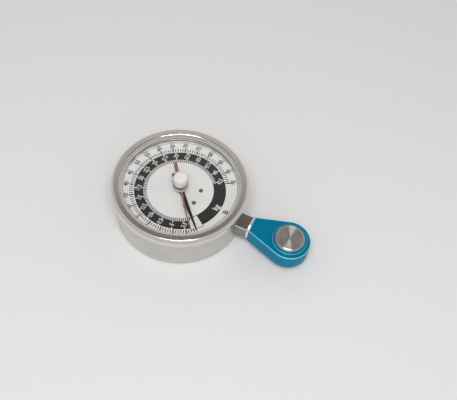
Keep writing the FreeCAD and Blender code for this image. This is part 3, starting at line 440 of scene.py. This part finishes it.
def banded_ring_steel():
    """The bright ring round the dial: painted shade darkens its groove and its undercut, and it is brightest
    between them.
    """
    steel = (0.86, 0.85, 0.84)
    material = worked_metal("ring_bright_steel", steel, 0.34, ring_lines(0.2), edge=1.15, contrast=0.06)
    tree = material.node_tree
    shader = tree.nodes["Principled BSDF"]
    height = surface_height(tree)
    groove_low, groove_high, foot = (DIAL_TOP + rise for rise in (*RING_GROOVE, RING_FOOT))
    above_groove = stretch(tree, height, groove_high, groove_high + RING_LINE_FADE)
    below_groove = stretch(tree, height, groove_low, groove_low - RING_LINE_FADE)
    over_foot = stretch(tree, height, foot, foot + RING_LINE_FADE)
    outside_painted_shade = maths(tree, "MULTIPLY", maths(tree, "MAXIMUM", above_groove, below_groove), over_foot)
    plain = shader.inputs["Base Color"].links[0].from_socket
    upper = blend_colours(tree, above_groove, plain, shade(steel, 0.84))
    # Painted shade: the groove and the undercut take a dark brown grey.
    tree.links.new(blend_colours(tree, outside_painted_shade, (0.2, 0.18, 0.16, 1), upper), shader.inputs["Base Color"])
    return material


def milky_plastic():
    """White moulded plastic that light enters a little way, with a soft sheen and faint handling."""
    colour = (0.79, 0.785, 0.775)
    material, tree, shader = start_material(
        "knob_milky_plastic",
        Subsurface_Weight=0.9, Subsurface_Scale=0.005, Subsurface_Radius=(1.0, 0.95, 0.9)
    )
    marks = use(tree, HANDLING_MARKS, Patch_scale=160.0).outputs
    pits = use(tree, FINE_PITS, Pit_scale=2500.0)
    toned = blend_colours(tree, marks["Film"], shade(colour, 1.03), shade(colour, 0.93))
    tree.links.new(toned, shader.inputs["Base Color"])
    tree.links.new(stretch(tree, marks["Film"], 0, 1, 0.32, 0.45), shader.inputs["Roughness"])
    bump(tree, shader, pits.outputs["Height"], 0.15, 0.03 * MM)
    return material


def moulded_nylon():
    """The peak pointer's pale hub, its faint pink a painted reflection of the red beside it."""
    colour = (0.78, 0.68, 0.67)
    material, tree, shader = start_material("hub_pale_nylon", Subsurface_Weight=0.3, Subsurface_Scale=0.001)
    marks = use(tree, HANDLING_MARKS, Patch_scale=180.0).outputs
    pits = use(tree, FINE_PITS, Pit_scale=3000.0)
    toned = blend_colours(tree, marks["Film"], shade(colour, 1.05), shade(colour, 0.92))
    tree.links.new(toned, shader.inputs["Base Color"])
    tree.links.new(stretch(tree, pits.outputs["Height"], *NOISE_SPAN, 0.4, 0.5), shader.inputs["Roughness"])
    bump(tree, shader, pits.outputs["Height"], 0.15, 0.02 * MM)
    return material


def white_enamel():
    """The dial's satin white enamel, with a faint mottle."""
    colour = (0.84, 0.835, 0.825)
    material, tree, shader = start_material("dial_white_enamel")
    marks = use(tree, HANDLING_MARKS, Patch_scale=60.0).outputs
    pits = use(tree, FINE_PITS, Pit_scale=4000.0)
    toned = blend_colours(tree, marks["Film"], shade(colour, 1.02), shade(colour, 0.96))
    tree.links.new(toned, shader.inputs["Base Color"])
    tree.links.new(stretch(tree, marks["Film"], 0, 1, 0.42, 0.52), shader.inputs["Roughness"])
    bump(tree, shader, pits.outputs["Height"], 0.12, 0.02 * MM)
    return material


def printing_ink(name, colour):
    """Screen printed ink: flat, a little uneven in its cover."""
    material, tree, shader = start_material(name, Specular_IOR_Level=0.25)
    pits = use(tree, FINE_PITS, Pit_scale=3500.0)
    cover = stretch(tree, pits.outputs["Height"], *NOISE_SPAN)
    uneven = blend_colours(tree, cover, shade(colour, 0.92), shade(colour, 1.1))
    tree.links.new(uneven, shader.inputs["Base Color"])
    tree.links.new(stretch(tree, pits.outputs["Height"], *NOISE_SPAN, 0.45, 0.55), shader.inputs["Roughness"])
    return material


def matt_rubber():
    """The black rubber of the seals."""
    material, tree, shader = start_material("seal_black_rubber")
    marks = use(tree, HANDLING_MARKS, Patch_scale=200.0).outputs
    pits = use(tree, FINE_PITS, Pit_scale=3000.0)
    toned = blend_colours(tree, marks["Film"], (0.03, 0.03, 0.03, 1), (0.05, 0.048, 0.045, 1))
    tree.links.new(toned, shader.inputs["Base Color"])
    tree.links.new(stretch(tree, pits.outputs["Height"], *NOISE_SPAN, 0.6, 0.8), shader.inputs["Roughness"])
    bump(tree, shader, pits.outputs["Height"], 0.3, 0.03 * MM)
    return material


def let_light_through(tree, shader, kinds=("Is Shadow Ray", "Is Diffuse Ray")):
    """Lets the light that falls on other pieces pass straight through this one."""
    clear = tree.nodes.new("ShaderNodeBsdfTransparent")
    path = tree.nodes.new("ShaderNodeLightPath")
    either = tree.nodes.new("ShaderNodeMixShader")
    through = path.outputs[kinds[0]]
    for kind in kinds[1:]:
        through = maths(tree, "MAXIMUM", through, path.outputs[kind])
    tree.links.new(through, either.inputs[0])
    tree.links.new(shader.outputs[0], either.inputs[1])
    tree.links.new(clear.outputs[0], either.inputs[2])
    tree.links.new(either.outputs[0], tree.nodes["Material Output"].inputs["Surface"])


def clear_acrylic():
    """The clear lens. Its boss hardly shows, so that the pale hub under it does.

    Light for the dial passes straight through, with no solid shadow.
    """
    material, tree, shader = start_material(
        "lens_clear_acrylic", Transmission_Weight=1.0, IOR=1.49, Base_Color=(0.97, 0.98, 0.98, 1)
    )
    marks = use(tree, HANDLING_MARKS, Patch_scale=80.0).outputs
    height = surface_height(tree)
    cover = stretch(tree, height, LENS_BOSS_FOOT, LENS_BOSS_FOOT + LENS_BOSS_FADE, 1.0, LENS_BOSS_COVER)
    tree.links.new(cover, shader.inputs["Alpha"])
    tree.links.new(stretch(tree, marks["Film"], 0.4, 1, 0.0, 0.03), shader.inputs["Roughness"])
    let_light_through(tree, shader)
    return material


def satin_lens_step():
    """The lens's moulded edge: satin and pale, with painted shade as a dark line where its step meets the
    clear part.
    """
    colour = (0.62, 0.61, 0.6)
    material, tree, shader = start_material("lens_edge_satin", Alpha=0.82)
    marks = use(tree, HANDLING_MARKS, Patch_scale=110.0).outputs
    toned = blend_colours(tree, marks["Film"], shade(colour, 1.05), shade(colour, 0.92))
    height = surface_height(tree)
    top = stretch(tree, height, LENS_TOP + LENS_STEP_UP * LENS_STEP_SHADED_SHARE, LENS_TOP + LENS_STEP_UP)
    # Painted shade: the step's sides are dark up to a share of its height, and only its top is pale.
    tree.links.new(blend_colours(tree, top, (0.13, 0.12, 0.11, 1), toned), shader.inputs["Base Color"])
    tree.links.new(stretch(tree, marks["Film"], 0, 1, 0.3, 0.42), shader.inputs["Roughness"])
    let_light_through(tree, shader, ("Is Shadow Ray", "Is Diffuse Ray", "Is Transmission Ray"))
    return material


FINISHES = {
    "case_steel": worked_metal("case_drawn_steel", (0.62, 0.61, 0.59), 0.32, ring_lines(0.25)),
    "bezel_steel": worked_metal(
        "bezel_polished_steel", (0.76, 0.73, 0.7), 0.2, ring_lines(0.3), edge=1.2, contrast=0.05
    ),
    "clear_lens": clear_acrylic(),
    "black_rubber": matt_rubber(),
    "ring_steel": banded_ring_steel(),
    "dial_white": white_enamel(),
    "screw_bronze": worked_metal(
        "screw_browned_brass", (0.22, 0.16, 0.12), 0.4, straight_lines(900, 900, 900)
    ),
    "stem_nickel": plated_stem(),
    "screw_steel": worked_metal("screw_bright_steel", (0.6, 0.6, 0.6), 0.28, straight_lines(500, 1500, 1500)),
    "tube_bronze": worked_metal("tube_phosphor_bronze", (0.6, 0.38, 0.2), 0.34, ring_lines(0.4)),
    "movement_brass": worked_metal(
        "movement_machined_brass", (0.75, 0.58, 0.28), 0.3, straight_lines(120, 2500, 2500)
    ),
    "pointer_black": painted(
        "pointer_black_paint", (0.007, 0.0065, 0.006), 0.6, 0.04, Specular_IOR_Level=0.1
    ),
    "pointer_red": painted("pointer_dark_red_paint", (0.25, 0.12, 0.095), 0.45, 0.04, Specular_IOR_Level=0.3),
    "hub_nylon": moulded_nylon(),
    "knob_white": milky_plastic(),
    "washer_fibre": painted("washer_dark_fibre", (0.16, 0.09, 0.095), 0.7, 0.1, Specular_IOR_Level=0.3),
    "washer_steel": worked_metal(
        "washer_bright_steel", (0.92, 0.91, 0.9), 0.42, straight_lines(3000, 300, 300),
        edge=1.05, contrast=0.04
    ),
    "body_blue": blue_anodised(),
    "button_steel": turned_button_steel(),
}
BLACK_INK = printing_ink("dial_black_ink", (0.01, 0.009, 0.0085))
WHITE_INK = printing_ink("dial_white_ink", (0.72, 0.715, 0.7))


def dress_cad_nodes():
    """Gives each CAD node the finish of its material slot."""
    for row in frame["record"]["subparts"]:
        mesh = frame["nodes"][row["node"]].data
        mesh.materials.clear()
        mesh.materials.append(FINISHES[row["material_slot"]])


def add_object(name, data):
    """Puts a new object into the scene."""
    added = bpy.data.objects.new(name, data)
    bpy.context.scene.collection.objects.link(added)
    return added


def close_shape(name, shape, material):
    """Turns an open shape into a mesh of one material."""
    mesh = bpy.data.meshes.new(name)
    shape.to_mesh(mesh)
    shape.free()
    mesh.materials.append(material)
    return mesh


def polar(radius, angle, z):
    """The point at a radius and an angle round the dial's centre."""
    turn = math.radians(angle)
    return Vector((radius * math.cos(turn), radius * math.sin(turn), z))


def arc_strip(shape, inner, outer, start, end, z):
    """A flat strip of a ring between two radii and two angles."""
    steps = max(1, math.ceil(abs(end - start) / ARC_STEP))
    angles = [start + (end - start) * i / steps for i in range(steps + 1)]
    rows = [(shape.verts.new(polar(inner, a, z)), shape.verts.new(polar(outer, a, z))) for a in angles]
    for (near_in, near_out), (far_in, far_out) in zip(rows, rows[1:]):
        shape.faces.new((near_in, near_out, far_out, far_in))


def tick(shape, reach, angle, width, z):
    """A flat radial mark of even width."""
    side = Vector((-math.sin(math.radians(angle)), math.cos(math.radians(angle)), 0)) * width / 2
    start, end = polar(reach[0], angle, z), polar(reach[1], angle, z)
    shape.faces.new([shape.verts.new(p) for p in (start - side, end - side, end + side, start + side)])


def figures(shape, text, size, radius, angle, z, turn=90.0, narrow=NUMERAL_NARROW):
    """Flat bold figures. Unless turned, they stand upright on the dial, a quarter turn from the stem."""
    curve = bpy.data.curves.new("figures", "FONT")
    curve.body = text
    curve.size = size
    curve.align_x = "CENTER"
    curve.align_y = "CENTER"
    curve.resolution_u = 3
    curve.offset = NUMERAL_BOLD * size
    carrier = bpy.data.objects.new("figures", curve)
    mesh = bpy.data.meshes.new_from_object(carrier)
    upright = Matrix.Rotation(math.radians(turn), 4, "Z") @ Matrix.Diagonal((narrow, 1, 1, 1))
    mesh.transform(Matrix.Translation(polar(radius, angle, z)) @ upright)
    shape.from_mesh(mesh)
    bpy.data.objects.remove(carrier)
    bpy.data.curves.remove(curve)
    bpy.data.meshes.remove(mesh)


def print_piece(name, shape, ink):
    """Turns flat shapes, all facing up, into a printed piece that rides on the gauge."""
    for face in shape.faces:
        if face.normal.z < 0:
            face.normal_flip()
    piece = add_object(name, close_shape(name, shape, ink))
    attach(piece, "gauge")


def print_band(black, z):
    """The black band behind the inner numerals, broader between the last mark and the zero box."""
    box_start, box_end = ZERO_BOX_ANGLES
    last_label = ZERO_ANGLE - KG_LABEL_TURN * KG_LABELS + 360
    broad_end = last_label - KG_LABEL_TURN / KG_TICKS_PER_LABEL / 2
    arc_strip(black, BAND_INNER_R, BAND_OUTER_R, last_label, box_start + 360, z)
    arc_strip(black, ZERO_BOX_R[0], BAND_OUTER_R, box_end, broad_end, z)
    arc_strip(black, BAND_INNER_R, BAND_OUTER_R, broad_end, last_label, z)


def print_zero_box(black, z):
    """The outlined box in which both scales start."""
    start, end = ZERO_BOX_ANGLES
    inner, outer = ZERO_BOX_R
    line = math.degrees(ZERO_BOX_LINE / BAND_OUTER_R)
    arc_strip(black, inner, inner + ZERO_BOX_LINE, start, end, z)
    arc_strip(black, outer - ZERO_BOX_LINE, outer, start, end, z)
    for edge, step in ((start, line), (end, -line)):
        arc_strip(black, inner, outer, edge, edge + step, z)


def print_pound_scale(black, z):
    """The outer scale: a tick for each pound, and a longer one with its number at each fifth."""
    for pound in range(1, LB_LABELS * LB_LABEL_STEP + 1):
        angle = ZERO_ANGLE - LB_LABEL_TURN * pound / LB_LABEL_STEP
        if pound % LB_LABEL_STEP:
            tick(black, LB_TICK_R, angle, LB_TICK_W, z)
        else:
            tick(black, LB_LABEL_TICK_R, angle, LABEL_TICK_W, z)
            figures(black, str(pound), LB_NUMERAL_SIZE, LB_NUMERAL_R, angle, z)


def print_kilogram_scale(black, white, band_z, over_z):
    """The inner scale: ticks inside the band, and on it white numbers between two white marks."""
    for step in range(1, KG_LABELS * KG_TICKS_PER_LABEL + 1):
        angle = ZERO_ANGLE - KG_LABEL_TURN * step / KG_TICKS_PER_LABEL
        tick(black, KG_TICK_R, angle, KG_TICK_W, band_z)
        if step % KG_TICKS_PER_LABEL == 0:
            tick(white, (BAND_INNER_R, BAND_INNER_R + BAND_MARK_LENGTH), angle, BAND_MARK_W, over_z)
            tick(white, (BAND_OUTER_R - BAND_MARK_LENGTH, BAND_OUTER_R), angle, BAND_MARK_W, over_z)
            label = f"{KG_LABEL_STEP * step / KG_TICKS_PER_LABEL:g}"
            narrow = NUMERAL_NARROW * LONG_NUMERAL_NARROW.get(len(label), 1.0)
            figures(white, label, KG_NUMERAL_SIZE, KG_NUMERAL_R, angle, over_z, narrow=narrow)


def print_dial():
    """The dial's printing: black on the enamel, and white on the black band."""
    band_z = DIAL_TOP + PRINT_STEP
    over_z = band_z + PRINT_STEP
    black, white = bmesh.new(), bmesh.new()
    print_band(black, band_z)
    print_zero_box(black, band_z)
    print_pound_scale(black, band_z)
    print_kilogram_scale(black, white, band_z, over_z)
    figures(white, "kg", KG_UNIT_SIZE, KG_NUMERAL_R, UNIT_ANGLE, over_z, UNIT_ANGLE + 90)
    figures(black, "lb", LB_UNIT_SIZE, LB_UNIT_R, UNIT_ANGLE, band_z, UNIT_ANGLE + 90)
    print_piece("dial_printing_black", black, BLACK_INK)
    print_piece("dial_printing_white", white, WHITE_INK)


def raise_lens_step():
    """The low moulded step round the lens's edge, just inside the bezel's lip."""
    foot = LENS_TOP + LENS_STEP_SEAT
    top = LENS_TOP + LENS_STEP_UP
    profile = (
        (LENS_STEP_OUTER_R, foot),
        (LENS_STEP_OUTER_R, top),
        (LENS_STEP_INNER_R, top),
        (LENS_STEP_FOOT_R, foot),
    )
    shape = bmesh.new()
    rows = [
        [shape.verts.new(polar(radius, 360 * i / LENS_STEP_SIDES, z)) for radius, z in profile]
        for i in range(LENS_STEP_SIDES)
    ]
    for here, there in zip(rows, rows[1:] + rows[:1]):
        for j in range(len(profile)):
            k = (j + 1) % len(profile)
            shape.faces.new((here[j], there[j], there[k], here[k]))
    bmesh.ops.recalc_face_normals(shape, faces=shape.faces)
    step = add_object("lens_edge_step", close_shape("lens_edge_step", shape, satin_lens_step()))
    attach(step, "gauge")


def set_floor():
    """A pale floor under the gauge, far wider than what the camera sees."""
    floor = bpy.data.meshes.new("floor")
    corners = [(x * FLOOR_HALF, y * FLOOR_HALF, 0) for x, y in ((-1, -1), (1, -1), (1, 1), (-1, 1))]
    floor.from_pydata(corners, [], [(0, 1, 2, 3)])
    material, tree, shader = start_material("floor_pale_card", Roughness=0.9)
    pits = use(tree, FINE_PITS, Pit_scale=400.0)
    cover = stretch(tree, pits.outputs["Height"], *NOISE_SPAN)
    card = blend_colours(tree, cover, (0.8, 0.8, 0.8, 1), (0.82, 0.82, 0.82, 1))
    tree.links.new(card, shader.inputs["Base Color"])
    floor.materials.append(material)
    stage = add_object("floor", floor)
    stage.location.z = -FLOOR_DROP


def set_lamp():
    """A soft rectangular lamp over the gauge."""
    light = bpy.data.lights.new("lamp_overhead", "AREA")
    light.shape = "RECTANGLE"
    light.size, light.size_y = LAMP_SIZE
    light.energy = LAMP_POWER
    lamp = add_object("lamp_overhead", light)
    lamp.location = LAMP_PLACE
    lamp.rotation_euler = (Vector(LAMP_AIM) - Vector(LAMP_PLACE)).to_track_quat("-Z", "Y").to_euler()


def set_room():
    """A room that is pale low down, and darker and warmer overhead."""
    world = bpy.data.worlds.new("room")
    world.use_nodes = True
    tree = world.node_tree
    way = put(tree, "ShaderNodeTexCoord", {}).outputs["Generated"]
    height = put(tree, "ShaderNodeSeparateXYZ", {}, way).outputs[2]
    ceiling = stretch(tree, height, *ROOM_CHANGE)
    air = blend_colours(tree, ceiling, ROOM_LOW, ROOM_HIGH)
    tree.links.new(air, tree.nodes["Background"].inputs["Color"])
    bpy.context.scene.world = world


def set_camera():
    """The photograph's view: the camera looks down on the dial from the front and the right."""
    up = CAMERA_BACK.cross(CAMERA_RIGHT).normalized()
    camera = bpy.data.cameras.new("camera")
    camera.sensor_width = CAMERA_SENSOR
    camera.lens = CAMERA_LENS
    camera.clip_start = CAMERA_CLIP
    viewer = add_object("camera", camera)
    turn = Matrix((CAMERA_RIGHT, up, CAMERA_BACK)).transposed().to_4x4()
    viewer.matrix_world = Matrix.Translation(CAMERA_PLACE) @ turn
    bpy.context.scene.camera = viewer


dress_cad_nodes()
print_dial()
raise_lens_step()
set_floor()
set_lamp()
set_room()
set_camera()
bpy.context.scene.view_settings.view_transform = "Standard"
